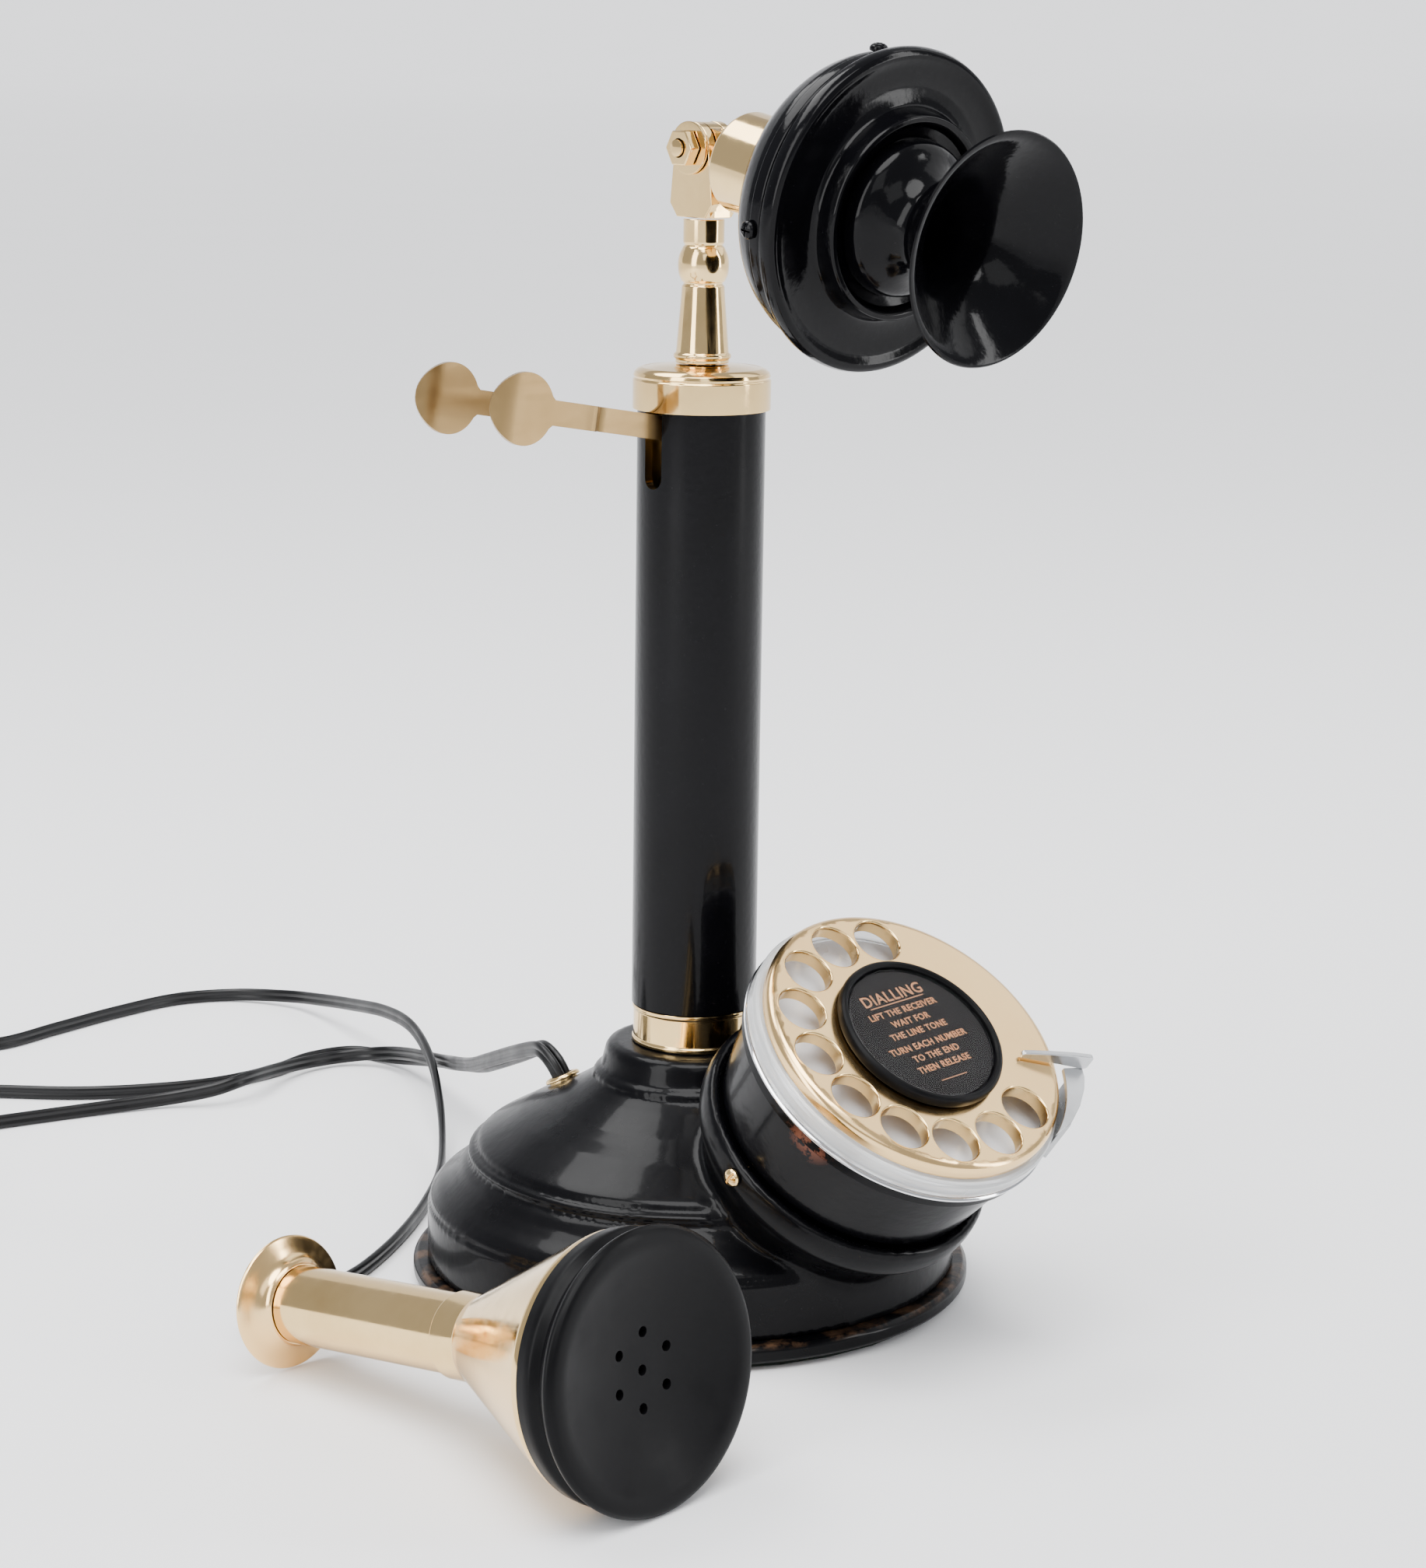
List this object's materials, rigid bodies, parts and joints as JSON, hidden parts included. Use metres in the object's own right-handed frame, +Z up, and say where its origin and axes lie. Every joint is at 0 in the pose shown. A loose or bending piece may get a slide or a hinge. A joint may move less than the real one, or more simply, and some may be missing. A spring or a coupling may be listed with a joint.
{
  "type": "candlestick dial telephone",
  "caption": "Candlestick telephone: domed base with a tilted rotary dial, tall column with fork hook and tilting transmitter, and a separate brass receiver on a cord",
  "frame": {"origin": "centre of the base's underside, on the table", "axes": "+Z up along the column, -Y to the front where the dial and mouthpiece face, -X to the side of the receiver hook"},
  "size_m": [0.2388, 0.4362, 0.3048],
  "materials": {
    "black_lacquer": "gloss",
    "polished_brass": "polished",
    "satin_brass": "satin",
    "bright_steel": "satin",
    "chrome_plate": "mirror",
    "clear_acrylic": "clear",
    "pale_plate": "satin",
    "ebonite": "satin",
    "card": "printed card",
    "bakelite": "matte",
    "cord_rubber": "matte",
    "felt": "matte",
    "copper_alloy": "satin",
    "board": "matte"
  },
  "bodies": {
    "stand": {"acorn_nut": "polished_brass", "base_plate": "black_lacquer", "base_screw_1": "bright_steel", "base_screw_2": "bright_steel", "base_screw_3": "bright_steel", "base_shell": "black_lacquer", "circuit_board": "board", "collar_ring": "polished_brass", "column_cap": "polished_brass", "column_socket": "bright_steel", "column_tube": "black_lacquer", "cord_eyelet": "polished_brass", "dial_bezel": "chrome_plate", "dial_clear_ring": "clear_acrylic", "dial_cup": "black_lacquer", "dial_frame": "bright_steel", "dial_lock_screw": "polished_brass", "felt_pad": "felt", "finger_stop": "bright_steel", "hook_bracket": "bright_steel", "hook_pivot_pin": "bright_steel", "hook_spring": "bright_steel", "impulse_contacts": "bakelite", "line_cord": "cord_rubber", "line_cord_coil": "cord_rubber", "line_cord_end": "cord_rubber", "line_plug": "clear_acrylic", "number_plate": "pale_plate", "pivot_bolt": "polished_brass", "pivot_washer": "polished_brass", "receiver_cord": "cord_rubber", "sounder": "ebonite", "switch_blade_1": "copper_alloy", "switch_blade_2": "copper_alloy", "switch_block": "bakelite", "transmitter_post": "polished_brass"},
    "dial": {"finger_wheel": "satin_brass", "card_holder": "ebonite", "instruction_card": "card", "card_window": "clear_acrylic", "dial_spindle": "bright_steel"},
    "impulse": {"impulse_shaft": "polished_brass"},
    "hook": {"hook_arm_near": "satin_brass", "hook_arm_far": "satin_brass"},
    "transmitter": {"transmitter_lug": "polished_brass", "lug_nut": "bright_steel", "transmitter_cup": "black_lacquer", "transmitter_faceplate": "black_lacquer", "mouthpiece": "ebonite", "transmitter_screw_1": "black_lacquer", "transmitter_screw_2": "black_lacquer", "transmitter_screw_3": "black_lacquer", "transmitter_diaphragm": "bright_steel", "carbon_button": "polished_brass"},
    "receiver": {"tail_flange": "polished_brass", "receiver_handle": "polished_brass", "receiver_bell": "polished_brass", "ear_cap": "ebonite", "receiver_diaphragm": "bright_steel", "receiver_magnet": "bright_steel"}
  },
  "joints": [
    {"name": "dial_turn", "type": "hinge", "parent": "stand", "child": "dial", "pos_m": [0, -0.0776, 0.0783], "axis": [0, 0.6088, -0.7934], "range_deg": [0, 328], "stiffness_Nm_per_rad": 0.012, "springref_deg": -45.84},
    {"name": "impulse_spin", "type": "hinge", "parent": "stand", "child": "impulse", "pos_m": [-0.01435, -0.08899, 0.06956], "axis": [0, 0.6088, -0.7934], "range_deg": [-1325, 5]},
    {"name": "hook_press", "type": "hinge", "parent": "stand", "child": "hook", "pos_m": [0.007, 0, 0.2109], "axis": [0, -1, 0], "range_deg": [0, 12], "stiffness_Nm_per_rad": 0.15, "springref_deg": -17.19, "deforming": ["hook_spring"]},
    {"name": "transmitter_tilt", "type": "hinge", "parent": "stand", "child": "transmitter", "pos_m": [0, 0, 0.2797], "axis": [-1, 0, 0], "range_deg": [-15, 35]},
    {"name": "receiver_lift", "type": "slide", "parent": "stand", "child": "receiver", "axis": [0, 0, 1], "range_m": [0, 0.08]}
  ],
  "couplings": [
    {"joint": "impulse_spin", "follows": "dial_turn", "ratio": -4}
  ]
}
